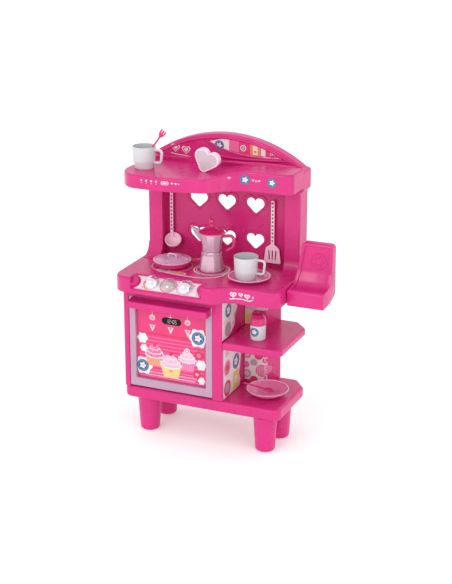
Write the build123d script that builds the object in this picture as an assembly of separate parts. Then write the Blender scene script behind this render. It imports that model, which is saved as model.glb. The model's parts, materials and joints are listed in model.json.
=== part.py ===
from build123d import *
import math
import os

# Toy kitchen. Millimetres. X to the right, Y to the back, Z up.
# The pieces are drawn from one datum, and saved about the middle of the whole footprint.

# ---- driving dimensions ----
DATUM = (3.0, 0.0, 0.0)                # from the drawing datum to the footprint's middle
LEFT, RIGHT = -301.0, 187.0            # worktop, left and right ends
BACK = 138.0                           # common back plane
WALL = 3.0                             # moulded wall

LEG_H = 105.0
LEG_TOP_R, LEG_FOOT_R = 34.5, 28.0
LEGS = {"front_left": (-228.0, -58.0), "front_right": (136.0, -62.0),
        "rear_left": (-230.0, 62.0), "rear_right": (140.0, 38.0)}

CARCASS_LEFT = -290.0
CARCASS_FRONT = -100.0
BASE_TOP = 140.0
CABINET_RIGHT = 20.0
CABINET_TOP = 440.0
WORKTOP_Z = 485.0
SHELF_Z = (296.0, 320.0)
BASE_RIGHT = 190.0
SHELF_RIGHT = 193.0

DOOR_X = (-269.0, -10.0)               # door opening in the cabinet front
DOOR_TOP = 417.0
DOOR_GAP = 0.8
DOOR_THICK = 16.0
HINGE_Y, HINGE_Z = -92.0, 152.0
HINGE_R, HINGE_FIT = 3.0, 0.08

FASCIA_FRONT = -138.0                  # bulge of the worktop over the oven
APRON_FRONT = -103.0                   # worktop front over the shelves
TOP_FRONT = -93.0                      # where the flat top ends over the oven
LIP_Z = 449.0                          # bottom of the slanted fascia
BAY_X = (-243.0, -28.0)                # ends of the slanted bay
LOBE_R, LOBE_H = 18.0, 12.0            # round cheeks at its ends

KNOB_X = (-187.0, -137.0, -86.0)
KNOB_R = (21.5, 20.0, 22.5)
KNOB_UP = 3.0                          # above the middle of the fascia
KNOB_H = (17.0, 9.0, 17.0)
KNOB_NAMES = ("left", "centre", "right")
SHAFT_R, SHAFT_FIT = 4.0, 0.08

PANEL_X = -57.5                        # middle of the upper back panel
PANEL_HALF = 233.5
PANEL_FRONT = 80.0
RECESS_FRONT = 120.0
COLUMN_W = 44.0
PANEL_WALL = 4.0
SHOULDER_OUT = 9.0
SHOULDER_Z = (716.0, 781.0)
CROWN_FRONT = 106.0
CROWN_TOP = 857.0
CROWN_IN = 12.0                        # the arch springs this far in from the shoulders
HEART_X = (-148.0, -61.0, 27.0)
HEART_Z = (551.0, 656.0)
HEART_SIZE = (54.0, 44.0, 7.0)

HOOD_BOTTOM = 735.0
TRAY_TOP = 773.0
HOOD_TOP = 790.0
HOOD_EDGE = 6.0
HOOD_PLAN = ((-296, 80), (-296, -62), (-258, -109), (-150, -110),
             (-40, -84), (30, -11), (186, -11), (186, 80))
HOOD_RADII = (0.5, 60, 60, 200, 60, 120, 20, 0.5)

SEAT_X = (190.0, 295.0)
SEAT_TOP, SEAT_TAPER = 600.0, 17.0
PEG_R = 4.0
PEG_Y = (-22.0, 24.0)
PEG_Z = 462.0
HOOK_X = (-231.0, 84.0)
HOOK_Z = (690.0, 672.0)
CLEAR = 0.4                            # air between pieces that lift apart

os.makedirs("parts", exist_ok=True)


def save(name, shape):
    """Write one named piece."""
    placed = Pos(*DATUM) * shape
    placed.label = name
    export_step(placed, f"parts/{name}.step")


def block(x, y, z):
    """A box between the given limits."""
    size = (x[1] - x[0], y[1] - y[0], z[1] - z[0])
    middle = ((x[0] + x[1]) / 2, (y[0] + y[1]) / 2, (z[0] + z[1]) / 2)
    return Pos(*middle) * Box(*size)


def rounded(points, radii, inset=0.0):
    """A closed outline with rounded corners, drawn in from its edge by inset."""
    face = make_face(FilletPolyline(*points, radius=radii, close=True))
    return offset(face, -inset, kind=Kind.INTERSECTION) if inset else face


def prism(face, z0, z1):
    """Extrude a plan outline from z0 to z1."""
    return extrude(Pos(0, 0, z0) * face, z1 - z0)


def rod(radius, start, end):
    """A round bar between two points."""
    a, b = Vector(*start), Vector(*end)
    return Plane(origin=a, z_dir=b - a) * Cylinder(
        radius, (b - a).length, align=(Align.CENTER, Align.CENTER, Align.MIN))


def turned(centre, profile):
    """Revolve (radius, z) points about the vertical line through centre."""
    face = make_face(Polyline(*[(r, 0, z) for r, z in profile], close=True))
    return Pos(centre[0], centre[1], 0) * revolve(face, Axis.Z)


def bar(radius, path):
    """A round bar swept along a path."""
    start = path @ 0
    section = Plane(origin=start, z_dir=path % 0) * Circle(radius)
    return sweep(section, path)


def heart(width, height, tip_r):
    """A plump heart outline in the XY plane, its blunt tip at the bottom, centred on the origin."""
    r, c = 0.275 * width, 0.225 * width
    rise, tip = height / 2 - r, -height / 2 - 0.35 * tip_r
    reach = math.hypot(c, rise - tip)
    lean = math.atan2(c, rise - tip) + math.asin(r / reach)
    side = math.sqrt(reach ** 2 - r ** 2)
    x, y = side * math.sin(lean), tip + side * math.cos(lean)
    body = make_face(Polyline((0, tip), (x, y), (c, rise), (0, rise + 0.5 * c), (-c, rise), (-x, y),
                              close=True))
    body += [Pos(-c, rise) * Circle(r), Pos(c, rise) * Circle(r)]
    return fillet(body.vertices().sort_by(Axis.Y)[0], tip_r)


# ---- carcass ----
def carcass_outline(right, inset=0.0):
    """Plan of the base: rounded front corners and a cut right rear corner."""
    points = [(CARCASS_LEFT, BACK), (CARCASS_LEFT, CARCASS_FRONT), (right, CARCASS_FRONT),
              (right, 96), (156, BACK)]
    return rounded(points, [8, 22, 24, 18, 12], inset)


def legs():
    """Four tapered feet, hollow from above, each with a screw boss."""
    profile = [(0, 0), (LEG_FOOT_R, 0), (LEG_TOP_R, LEG_H), (0, LEG_H)]
    hollow = [(0, WALL), (LEG_FOOT_R - WALL, WALL), (LEG_TOP_R - WALL, LEG_H), (0, LEG_H)]
    for name, (x, y) in LEGS.items():
        shell = turned((x, y), profile)
        foot_edge = shell.edges().filter_by(GeomType.CIRCLE).sort_by(Axis.Z)[0]
        shell = fillet(foot_edge, 9) - turned((x, y), hollow)
        boss = rod(7, (x, y, WALL - 1), (x, y, LEG_H)) - rod(1.6, (x, y, LEG_H - 20), (x, y, LEG_H))
        save(f"leg_{name}", shell + boss)


def base_board():
    """The floor of the carcass: a tray open below, with a solid pad over each leg."""
    slab = prism(carcass_outline(BASE_RIGHT), LEG_H, BASE_TOP)
    rims = slab.edges().group_by(Axis.Z)
    slab = fillet(rims[0] + rims[-1], 9)
    pocket = prism(carcass_outline(BASE_RIGHT, 7), LEG_H, BASE_TOP - WALL)
    for x, y in LEGS.values():
        pocket -= rod(16, (x, y, LEG_H), (x, y, BASE_TOP))
    pocket -= [block((x, x + 2.5), (-92, BACK - 8), (LEG_H + 6, BASE_TOP)) for x in (-150, -50, 45)]
    screws = [rod(2.6, (x, y, LEG_H), (x, y, BASE_TOP - 8)) for x, y in LEGS.values()]
    return slab - pocket - screws


def leg_screws():
    """One screw down through each pad into the leg's boss."""
    group = []
    for x, y in LEGS.values():
        head = rod(2.5, (x, y, BASE_TOP - 12), (x, y, BASE_TOP - 8.2))
        group.append(head + rod(1.5, (x, y, LEG_H - 18), (x, y, BASE_TOP - 11)))
    return Part() + group


def oven_cabinet():
    """Rectangular tube with a framed opening at the front and a deep return round it."""
    outer = rounded([(CARCASS_LEFT, BACK), (CARCASS_LEFT, CARCASS_FRONT),
                     (CABINET_RIGHT, CARCASS_FRONT), (CABINET_RIGHT, BACK)], [6, 14, 6, 2])
    inner = block((CARCASS_LEFT + WALL, CABINET_RIGHT - WALL),
                  (CARCASS_FRONT + 9, BACK - WALL), (BASE_TOP - 1, CABINET_TOP + 1))
    body = prism(outer, BASE_TOP, CABINET_TOP) - inner
    back = CARCASS_FRONT + DOOR_THICK + 6
    ring = block((DOOR_X[0] - WALL, DOOR_X[1] + WALL), (CARCASS_FRONT + 2, back),
                 (BASE_TOP, DOOR_TOP + WALL))
    hole = block(DOOR_X, (CARCASS_FRONT - 1, back + 1), (BASE_TOP - 1, DOOR_TOP))
    stop = block(DOOR_X, (back - 3, back), (DOOR_TOP - 8, DOOR_TOP))
    body = body + ring - hole + stop
    bores = rod(HINGE_R + HINGE_FIT, (DOOR_X[0] - 8, HINGE_Y, HINGE_Z),
                (DOOR_X[1] + 8, HINGE_Y, HINGE_Z))
    slot = block((DOOR_X[0] + 18, DOOR_X[1] - 18), (CARCASS_FRONT - 1, CARCASS_FRONT + 3),
                 (DOOR_TOP + 9, DOOR_TOP + 14))
    return body - bores - slot


def column_outline(inset=0.0):
    """Plan of the box column behind the shelves."""
    points = [(CABINET_RIGHT, 58), (82, 67), (104, BACK), (CABINET_RIGHT, BACK)]
    return rounded(points, [2, 6, 3, 2], inset)


def shelf_column():
    """Tall box behind the shelves, open at its ends."""
    shell = prism(column_outline(), BASE_TOP, CABINET_TOP)
    return shell - prism(column_outline(WALL), BASE_TOP, CABINET_TOP)


def middle_shelf():
    """Open shelf beside the oven, notched round the column."""
    points = [(CABINET_RIGHT, BACK), (CABINET_RIGHT, CARCASS_FRONT - 2),
              (SHELF_RIGHT, CARCASS_FRONT - 2), (SHELF_RIGHT, 98), (156, BACK)]
    radii = [2, 2, 26, 18, 12]
    slab = prism(rounded(points, radii), *SHELF_Z)
    rims = slab.edges().group_by(Axis.Z)
    slab = fillet(rims[-1].filter_by(lambda e: e.center().X > CABINET_RIGHT + 1)
                  + rims[0].filter_by(lambda e: e.center().X > CABINET_RIGHT + 1), 7.5)
    slab -= prism(rounded(points, radii, 6), SHELF_Z[0], SHELF_Z[1] - WALL)
    slab += [block((CABINET_RIGHT + 4, SHELF_RIGHT - 4), (y, y + 2.5), (SHELF_Z[0] + 4, SHELF_Z[1] - 1))
             for y in (-60, -10)]
    around = rounded([(CABINET_RIGHT - 1, 57.5), (82.4, 66.5), (105, BACK + 1),
                      (CABINET_RIGHT - 1, BACK + 1)], [0.5, 5.5, 0.5, 0.5])
    return slab - prism(around, SHELF_Z[0] - 1, SHELF_Z[1] + 1)


# ---- worktop ----
def worktop_face(inset=0.0):
    """Plan of the worktop: the oven side stands further forward."""
    left, right, back = LEFT + inset, RIGHT - inset, BACK - inset
    front, apron = FASCIA_FRONT + inset, APRON_FRONT + inset
    points = [(left, back), (left, front), (4, front), (44, apron), (right, apron), (right, back)]
    return rounded(points, [14, 44 - inset, 30, 60, 24 - inset, 14])


def knob_bay(inset=0.0):
    """The slanted bay cut out of the front for the knobs."""
    run, rise = TOP_FRONT - FASCIA_FRONT, WORKTOP_Z - LIP_Z
    slope = Vector(run, rise).normalized()
    drop = Vector(slope.Y, -slope.X) * inset
    low = Vector(FASCIA_FRONT, LIP_Z) + drop - slope * 12
    high = Vector(TOP_FRONT, WORKTOP_Z) + drop + slope * 12
    side = make_face(Polyline((low.X, low.Y), (high.X, high.Y), (low.X, high.Y), close=True))
    x0, x1 = BAY_X[0] - inset, BAY_X[1] + inset
    return Pos(x0, 0, 0) * extrude(Plane.YZ * side, x1 - x0)


def fascia_plane(x):
    """A plane on the slanted fascia at x, facing forwards and up."""
    low, high = Vector(x, FASCIA_FRONT, LIP_Z), Vector(x, TOP_FRONT, WORKTOP_Z)
    along = (high - low).normalized()
    return Plane(origin=(low + high) * 0.5 + along * KNOB_UP, x_dir=(1, 0, 0),
                 z_dir=Vector(1, 0, 0).cross(along))


def bay_lobes():
    """Round cheeks that stand at both ends of the bay."""
    group = []
    for x in BAY_X:
        disc = Cylinder(LOBE_R, LOBE_H + 2, align=(Align.CENTER, Align.CENTER, Align.MIN))
        disc = fillet(disc.edges().sort_by(Axis.Z)[-1], 3)
        group.append(fascia_plane(x) * Pos(0, -KNOB_UP, -2) * disc)
    return group


def worktop():
    """The moulded top, hollow from below, with bores for the knob shafts and seat pegs."""
    body = prism(worktop_face(), CABINET_TOP, WORKTOP_Z)
    body = fillet(body.edges().group_by(Axis.Z)[-1], 7) - knob_bay()
    hollow = prism(worktop_face(WALL), CABINET_TOP - 1, WORKTOP_Z - WALL) - knob_bay(WALL)
    bay_edges = [e for e in body.edges() if BAY_X[0] - 1 < e.center().X < BAY_X[1] + 1
                 and e.center().Y < TOP_FRONT + 20 and e.center().Z > LIP_Z - 1]
    body = fillet(bay_edges, 3) - hollow + bay_lobes()
    for x in KNOB_X:
        body -= fascia_plane(x) * Cylinder(SHAFT_R + SHAFT_FIT, 30)
    for y in PEG_Y:
        body -= rod(PEG_R + 0.3, (RIGHT - 10, y, PEG_Z), (RIGHT + 10, y, PEG_Z))
    ribs = [block((x, x + 2.5), (-80, BACK - 2), (CABINET_TOP + 2, WORKTOP_Z - 1)) for x in (-150, 19)]
    return body + ribs


def knobs():
    """Push-fit knobs on the fascia, each held by a clip inside."""
    for name, x, radius, height in zip(KNOB_NAMES, KNOB_X, KNOB_R, KNOB_H):
        plane = fascia_plane(x)
        skirt = Pos(0, 0, CLEAR) * Cylinder(radius, 4, align=(Align.CENTER, Align.CENTER, Align.MIN))
        crown_r = (radius ** 2 + height ** 2) / (2 * height)
        ball = Pos(0, 0, CLEAR + 4 + height - crown_r) * Sphere(crown_r)
        dome = ball & Pos(0, 0, CLEAR + 3.9) * Cylinder(
            radius, height + 1, align=(Align.CENTER, Align.CENTER, Align.MIN))
        shaft = Pos(0, 0, -12) * Cylinder(SHAFT_R, 14, align=(Align.CENTER, Align.CENTER, Align.MIN))
        save(f"knob_{name}", plane * (skirt + dome + shaft))
        clip = Pos(0, 0, -7.5) * (Cylinder(8, 2) - Cylinder(SHAFT_R, 3))
        save(f"knob_{name}_clip", plane * clip)


# ---- oven door ----
def door_plate(y0, y1):
    """The door's outline as an upright plate."""
    return block((DOOR_X[0] + DOOR_GAP, DOOR_X[1] - DOOR_GAP), (y0, y1), (BASE_TOP + 4, DOOR_TOP - DOOR_GAP))


def door_frame():
    """The lilac surround, with ears for the hinge pins."""
    front = CARCASS_FRONT
    frame = door_plate(front, front + DOOR_THICK)
    frame = fillet(frame.edges().filter_by(Axis.X).sort_by(Axis.Z)[:2], 5)
    frame = fillet(frame.edges().filter_by(Axis.Y), 3)
    x0, x1 = DOOR_X[0] + 20, DOOR_X[1] - 20
    window = block((x0, x1), (front - 1, front + DOOR_THICK + 1), (BASE_TOP + 30, DOOR_TOP - 30))
    window = fillet(window.edges().filter_by(Axis.Y), 6)
    frame -= window
    rebate = block((x0 - 5, x1 + 5), (front + 9, front + DOOR_THICK + 1),
                   (BASE_TOP + 25, DOOR_TOP - 25))
    frame -= rebate
    for x0, x1 in ((DOOR_X[0] - 5, DOOR_X[0] + 14), (DOOR_X[1] - 14, DOOR_X[1] + 5)):
        frame -= rod(HINGE_R, (x0, HINGE_Y, HINGE_Z), (x1, HINGE_Y, HINGE_Z))
    return frame


def hinge_pins():
    """Two steel pins pressed into the foot of the door."""
    return Part() + [
        rod(HINGE_R, (DOOR_X[0] - 5, HINGE_Y, HINGE_Z), (DOOR_X[0] + 14, HINGE_Y, HINGE_Z)),
        rod(HINGE_R, (DOOR_X[1] - 14, HINGE_Y, HINGE_Z), (DOOR_X[1] + 5, HINGE_Y, HINGE_Z))]


def door_layer(y0, y1):
    """A flat sheet in the rebate of the door."""
    x0, x1 = DOOR_X[0] + 15.2, DOOR_X[1] - 15.2
    return block((x0, x1), (y0, y1), (BASE_TOP + 25.2, DOOR_TOP - 25.2))


def door_display():
    """The small dark oven display stuck on the window."""
    pill = Pos(-139, 0, 354) * Rot(90, 0, 0) * extrude(SlotOverall(60, 20), 1)
    return Pos(0, CARCASS_FRONT + 9, 0) * pill


def door_handle():
    """A full-width pull bar on the top of the door."""
    x0, x1 = DOOR_X[0] + 12, DOOR_X[1] - 4
    z0, z1 = DOOR_TOP - 26, DOOR_TOP - 6
    grip = block((x0, x1), (CARCASS_FRONT - 30, CARCASS_FRONT - 22), (z0, z1))
    grip = fillet(grip.edges().filter_by(Axis.X), 3.5)
    slope = Polyline((CARCASS_FRONT - 27, z1 - 5), (CARCASS_FRONT - 27, z1 - 0.5), (CARCASS_FRONT, z1 + 5),
                     (CARCASS_FRONT, z1 - 5), close=True)
    top = Pos(x0, 0, 0) * extrude(Plane.YZ * make_face(slope), x1 - x0)
    ends = [block(x, (CARCASS_FRONT - 26, CARCASS_FRONT), (z0 + 2, z1 - 1))
            for x in ((x0, x0 + 6), (x1 - 6, x1))]
    return grip + top + ends


# ---- upper back panel ----
def panel_profile(inset=0.0):
    """Front elevation of the panel: straight sides, stepped shoulders and an arched crown."""
    half, out = PANEL_HALF - inset, PANEL_HALF + SHOULDER_OUT - inset
    low, step, eave = WORKTOP_Z, SHOULDER_Z[0] + inset, SHOULDER_Z[1] - inset
    spring = out - CROWN_IN
    sides = Polyline((-spring, eave), (-out, eave), (-out, step + 8), (-half, step), (-half, low),
                     (half, low), (half, step), (out, step + 8), (out, eave), (spring, eave))
    arch = ThreePointArc((spring, eave), (0, CROWN_TOP - inset), (-spring, eave))
    face = make_face([sides, arch])
    for height, radius in ((eave, 9), (step, 10), (step + 8, 5)):
        corners = [v for v in face.vertices()
                   if abs(v.Y - height) < 0.01 and abs(v.X) > spring + 1]
        face = fillet(corners, radius)
    return Pos(PANEL_X, 0) * face


def upright(face, y0, y1):
    """Extrude an elevation drawn in XY so that it stands between y0 and y1."""
    return Pos(0, y1, 0) * Rot(90, 0, 0) * extrude(face, y1 - y0)


def recess(grow=0.0):
    """The space between the columns."""
    x0, x1 = PANEL_X - PANEL_HALF + COLUMN_W - grow, PANEL_X + PANEL_HALF - COLUMN_W + grow
    space = block((x0, x1), (PANEL_FRONT - 20, RECESS_FRONT + grow),
                  (WORKTOP_Z - 20, HOOD_BOTTOM + 12 + grow))
    return fillet(space.edges().filter_by(Axis.Z).sort_by(Axis.Y)[-2:], 14)


def crown_leaf():
    """The eye-shaped sunk field on the crown."""
    tips = ((-126, 840), (122, 801))
    top = ThreePointArc(tips[0], (-8, 848), tips[1])
    bottom = Spline(tips[1], (20, 796), (-70, 801), tips[0])
    return make_face([top, bottom])


def column_flare(x0):
    """A concave sweep where a column meets the worktop."""
    reach = 40.0
    y, z = PANEL_FRONT, WORKTOP_Z
    points = [(y + 1, z + reach), (y + 1, z), (y - reach, z), (y - reach, z + 1.5)]
    sweep_line = ThreePointArc((y - reach, z + 1.5), (y - reach * 0.29, z + reach * 0.29), (y, z + reach))
    face = make_face([Polyline(points[3], points[2], points[1], points[0], (y, z + reach)), sweep_line])
    return Pos(x0, 0, 0) * extrude(Plane.YZ * face, COLUMN_W)


def crown_clearance(inset, front):
    """What is cut away in front of the crown, which is thinner than the columns."""
    return block((-400, 400), (PANEL_FRONT - 20, front), (SHOULDER_Z[1] + 1 - inset, CROWN_TOP + 10))


def back_panel():
    """The moulded upper back, open behind, with heart cut-outs and an arched crown."""
    shell = upright(panel_profile(), PANEL_FRONT, BACK)
    rim = shell.edges().group_by(Axis.Y)[0].filter_by(lambda e: e.center().Z > WORKTOP_Z + 1)
    shell = fillet(rim, 6) - crown_clearance(0, CROWN_FRONT)
    shell = fillet([e for e in shell.edges() if abs(e.center().Y - CROWN_FRONT) < 0.1
                    and e.center().Z > SHOULDER_Z[1] + 5], 6)
    shell -= recess()
    hollow = upright(panel_profile(PANEL_WALL), PANEL_FRONT + PANEL_WALL, BACK + 1)
    hollow -= crown_clearance(PANEL_WALL, CROWN_FRONT + PANEL_WALL)
    hollow &= block((-400, 400), (0, BACK + 1), (WORKTOP_Z + PANEL_WALL, CROWN_TOP))
    shell -= hollow - recess(PANEL_WALL)
    for x in HEART_X:
        for z in HEART_Z:
            shell -= upright(Pos(x, z) * heart(*HEART_SIZE), RECESS_FRONT - 1, BACK)
    shell -= upright(crown_leaf(), CROWN_FRONT - 1, CROWN_FRONT + 1.6)
    left = PANEL_X - PANEL_HALF
    shell += [column_flare(left), column_flare(PANEL_X + PANEL_HALF - COLUMN_W)]
    for x, z in zip(HOOK_X, HOOK_Z):
        shell -= rod(2.5, (x, RECESS_FRONT - 1, z), (x, BACK, z))
    return shell


def utensil_pegs():
    """Two pegs pushed through the panel for the utensils to hang on."""
    return Part() + [rod(2.5, (x, RECESS_FRONT - 17, z), (x, RECESS_FRONT + 8, z))
                     for x, z in zip(HOOK_X, HOOK_Z)]


# ---- hood shelf ----
def hood_block(inset=0.0):
    """The hood's mass: a round tray on the left sweeping back to a straight box, its top ramping up."""
    low, tray, top = HOOD_BOTTOM, TRAY_TOP - inset, HOOD_TOP - inset
    side = rounded([(-400, low), (-400, tray), (-45, tray), (50, top), (400, top), (400, low)],
                   [1, 1, 120, 120, 1, 1])
    return prism(rounded(HOOD_PLAN, HOOD_RADII, inset), low, HOOD_TOP) & upright(side, -150, PANEL_FRONT)


def on_hood_rim(edge):
    """True for a level edge round the tray's outside, not where it meets the panel or the ramp."""
    at, along = edge.center(), edge.tangent_at(0.5)
    inside = HOOD_PLAN[0][0] + 1 < at.X < HOOD_PLAN[-1][0] - 1
    across = abs(along.Y) > 0.99 and inside
    return at.Z > TRAY_TOP - 2 and at.Y < PANEL_FRONT - 5 and abs(along.Z) < 0.5 and not across


def hood_shelf():
    """The shelf over the worktop, hollow from below."""
    body = hood_block()
    body = fillet([edge for edge in body.edges() if on_hood_rim(edge)], HOOD_EDGE)
    return body - hood_block(WALL)


# ---- side seat ----
def seat_profile(inset=0.0):
    """Side view of the doll seat: a deep front, a swept seat and a tall back."""
    points = [(-47, 432), (-47, 480), (0, 482), (17, 520), (23, SEAT_TOP), (48, SEAT_TOP), (50, 452), (10, 438)]
    side = Plane.YZ * rounded(points, [8, 9, 26, 30, 9, 9, 9, 20], inset)
    return Pos(SEAT_X[0] - 1, 0, 0) * extrude(side, SEAT_X[1] - SEAT_X[0] + 2)


def seat_front(inset=0.0):
    """Front view of the doll seat: the back leans in on the worktop's side."""
    x0, x1 = SEAT_X
    points = [(x0, 432), (x0, 484), (x0 + SEAT_TAPER, SEAT_TOP), (x1, SEAT_TOP), (x1, 432)]
    return upright(rounded(points, [6, 60, 14, 14, 6], inset), -60, 60)


def side_seat():
    """A doll's seat that plugs into the side of the worktop."""
    body = seat_profile() & seat_front()
    dish = (Pos(0, -6, 6) * seat_profile()) & seat_front(9) & block(SEAT_X, (-40, 60), (478, SEAT_TOP - 9))
    dish -= seat_profile(5)
    hollow = seat_profile(8.5) & seat_front(3.5)
    opening = block((SEAT_X[0] + 22, SEAT_X[1] - 10), (30, 60), (462, SEAT_TOP - 16))
    return body - dish - hollow - opening


def seat_pegs():
    """Two pegs that carry the seat in the worktop's side."""
    return Part() + [rod(PEG_R, (RIGHT - 12, y, PEG_Z), (SEAT_X[0], y, PEG_Z)) for y in PEG_Y]


# ---- play pieces ----
def cup(centre, z, foot_r, rim_r, height, handle_r, wall=2.0):
    """An open cup with a D-shaped handle towards +X."""
    shell = turned(centre, [(0, z), (foot_r, z), (rim_r - 1.5, z + height * 0.35),
                            (rim_r, z + height), (rim_r - wall, z + height),
                            (rim_r - 1.5 - wall, z + height * 0.35), (foot_r - wall, z + 2.5), (0, z + 2.5)])
    x0, y0 = centre[0] + rim_r - 2.4, centre[1]
    out, top, low = 25.0, z + height - 8, z + height * 0.27
    path = FilletPolyline((x0, y0, top), (x0 + out, y0, top), (x0 + out - 4, y0, low), (x0 - 1, y0, low),
                          radius=9)
    return shell + bar(handle_r, path)


def saucer():
    """Shallow dish under the cup."""
    z = WORKTOP_Z + CLEAR
    return turned((66, -18), [(0, z), (38, z), (42, z + 3), (60, z + 9), (60, z + 11.5),
                              (42, z + 5.5), (38, z + 3), (0, z + 3)])


POT = (-180.0, 4.0)
POT_TURN = 30.0                        # the handle points back and to the right
POT_R, POT_H = 50.0, 18.0


def tab(x0, x1, half, z0, z1, radius):
    """A flat tab from x0 to x1 with its outer corners rounded, turned with the pot's handle."""
    shape = block((x0, x1), (-half, half), (z0, z1))
    outer = shape.edges().filter_by(Axis.Z).sort_by(lambda e: abs(e.center().X))[-2:]
    return Pos(*POT, 0) * Rot(0, 0, POT_TURN) * fillet(outer, radius)


def pot():
    """Shallow pan with a lug and a short handle."""
    z, r = WORKTOP_Z + CLEAR, POT_R
    outside = [(0, z), (r - 10, z), (r - 3, z + 5), (r, z + POT_H - 2), (r + 3, z + POT_H - 2),
               (r + 3, z + POT_H)]
    inside = [(r - 2, z + POT_H), (r - 5, z + 6), (r - 11, z + 2.5), (0, z + 2.5)]
    shell = turned(POT, outside + inside)
    lug = tab(-r - 11, -r + 0.5, 9, z + POT_H - 5, z + POT_H - 1, 6)
    grip = tab(r - 0.5, r + 34, 7, z + POT_H - 5.5, z + POT_H - 0.5, 5)
    return shell + lug + grip


def pot_lid():
    """Domed lid with a small bridge handle."""
    z = WORKTOP_Z + CLEAR + POT_H + CLEAR
    r = POT_R + 4.5
    dome = turned(POT, [(0, z + 5), (30, z + 4), (r - 3, z), (r, z), (r, z + 2), (r - 3, z + 3.4),
                        (r - 8, z + 3.4), (30, z + 8), (0, z + 9.5)])
    x, y = POT
    path = FilletPolyline((x - 13, y, z + 6), (x - 11, y, z + 17), (x + 11, y, z + 17), (x + 13, y, z + 6),
                          radius=5)
    return dome + bar(2.8, path)


MOKA = (-63.0, 17.0)
MOKA_NECK, MOKA_RIM = 58.0, 110.0      # heights above the worktop


def moka_base():
    """Flared lower half of the moka pot, hollow."""
    z = WORKTOP_Z + CLEAR
    neck = z + MOKA_NECK
    return turned(MOKA, [(0, z), (34, z), (35.5, z + 3), (32, z + 30), (28, z + 44), (28, neck - 8),
                         (26, neck - 6), (26, neck), (23.5, neck), (23.5, neck - 8), (29.5, z + 30),
                         (33, z + 4), (0, z + 3)])


def moka_top():
    """Upper half of the moka pot, with its spout; the handle is a separate grip."""
    z, rim = WORKTOP_Z + CLEAR + MOKA_NECK, WORKTOP_Z + CLEAR + MOKA_RIM
    inside = [(0, z + 3), (22, z + 6), (25, z + 20), (33, rim), (33, rim + 20), (0, rim + 20)]
    shell = turned(MOKA, [(0, z), (25.5, z), (24.5, z + 6), (27.5, z + 20), (35.5, rim), (0, rim)])
    x, y = MOKA
    lip = make_face(Polyline((x - 24, z + 18), (x - 30, rim), (x - 64, rim + 14), (x - 46, z + 36),
                             close=True))
    channel = make_face(Polyline((x - 20, z + 24), (x - 20, rim + 20), (x - 70, rim + 20), (x - 44, z + 40),
                                 close=True))
    spout = upright(lip, y - 9, y + 9) - upright(channel, y - 6.5, y + 6.5)
    spout -= turned(MOKA, [(0, rim), (36.8, rim), (36.8, rim + 20), (0, rim + 20)])
    return shell + spout - turned(MOKA, inside)


def moka_handle():
    """Curved grip that meets the upper half under its rim and hangs free below."""
    x, y = MOKA
    rim = WORKTOP_Z + CLEAR + MOKA_RIM
    path = FilletPolyline((x + 35, y, rim - 7), (x + 66, y, rim - 2), (x + 68, y, rim - 34),
                          (x + 46, y, rim - 48), radius=[10, 12])
    return bar(4.6, path) - turned(MOKA, [(0, rim - 60), (36, rim - 60), (36, rim), (0, rim)])


def moka_lid():
    """Faceted lid with a knob, hinged over the handle."""
    z = WORKTOP_Z + CLEAR + MOKA_RIM + CLEAR
    x, y = MOKA
    cover = turned(MOKA, [(0, z), (36, z), (36, z + 2.5), (14, z + 14), (6, z + 17), (4, z + 24),
                          (7.5, z + 29), (7, z + 38), (0, z + 42)])
    hollow = turned(MOKA, [(0, z - 1), (33, z - 1), (33, z + 1), (13, z + 11), (0, z + 13)])
    ear = block((x + 32, x + 41), (y - 6, y + 6), (z, z + 4))
    return cover + ear - hollow


MUG = (-249.0, -24.0)


def mug_fork():
    """A small fork leaning in the mug, tines up."""
    low = Vector(*MUG, TRAY_TOP) + Vector(-6, 0, 16)
    high = low + Vector(59, 0, 80)
    stem = rod(2.4, low, high)
    along = (high - low).normalized()
    head_plane = Plane(origin=high, x_dir=along, z_dir=(0, -1, 0))
    head = extrude(head_plane * make_face(Polyline((-8, 2), (2, 8), (16, 9), (16, -9), (2, -8), (-8, -2),
                                                   close=True)), 1.6, both=True)
    gaps = [extrude(head_plane * Pos(11, y) * Rectangle(12, 2.4), 3, both=True) for y in (-3.4, 3.4)]
    return stem + head - gaps


def heart_mould():
    """Heart-shaped mould standing on the tray: a rim and a thin face."""
    turn = Pos(-71, 806.5) * Rot(0, 0, -20)
    outer, inner = turn * heart(73, 64, 15), turn * heart(63, 54, 11)
    rim = upright(outer, -6, 12) - upright(inner, -10, 20)
    lowest = rim.bounding_box().min.Z
    lift = Pos(0, 0, TRAY_TOP + CLEAR - lowest)
    face = upright(inner, -3, -1)
    return lift * rim, lift * face


SHAKER = (102.0, -38.0)


def shaker_body():
    """Sugar shaker, open at the top."""
    z = SHELF_Z[1] + CLEAR
    return turned(SHAKER, [(0, z), (19, z), (21.5, z + 4), (22, z + 44), (19, z + 44), (19, z + 50),
                           (17, z + 50), (17, z + 44), (19.5, z + 42), (19.5, z + 4), (0, z + 3)])


def shaker_cap():
    """Domed cap that drops over the shaker's neck."""
    z = SHELF_Z[1] + CLEAR + 44 + CLEAR
    dome = turned(SHAKER, [(19.5, z), (23, z), (23, z + 8), (20.5, z + 20), (13, z + 29), (0, z + 33),
                           (0, z + 30), (11, z + 26.5), (18, z + 18), (19.5, z + 8)])
    holes = []
    for k in range(6):
        angle = math.radians(60 * k)
        x, y = SHAKER[0] + 7 * math.cos(angle), SHAKER[1] + 7 * math.sin(angle)
        holes.append(rod(1.2, (x, y, z + 20), (x, y, z + 40)))
    return dome - holes


BOWL = (119.0, -4.0)


def bowl():
    """Wide shallow bowl on the lower shelf."""
    z = BASE_TOP + CLEAR
    return turned(BOWL, [(0, z), (30, z), (34, z + 1), (53, z + 12), (61, z + 20), (61, z + 22), (58, z + 21.5),
                         (50, z + 14), (33, z + 3), (0, z + 2.5)])


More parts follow.
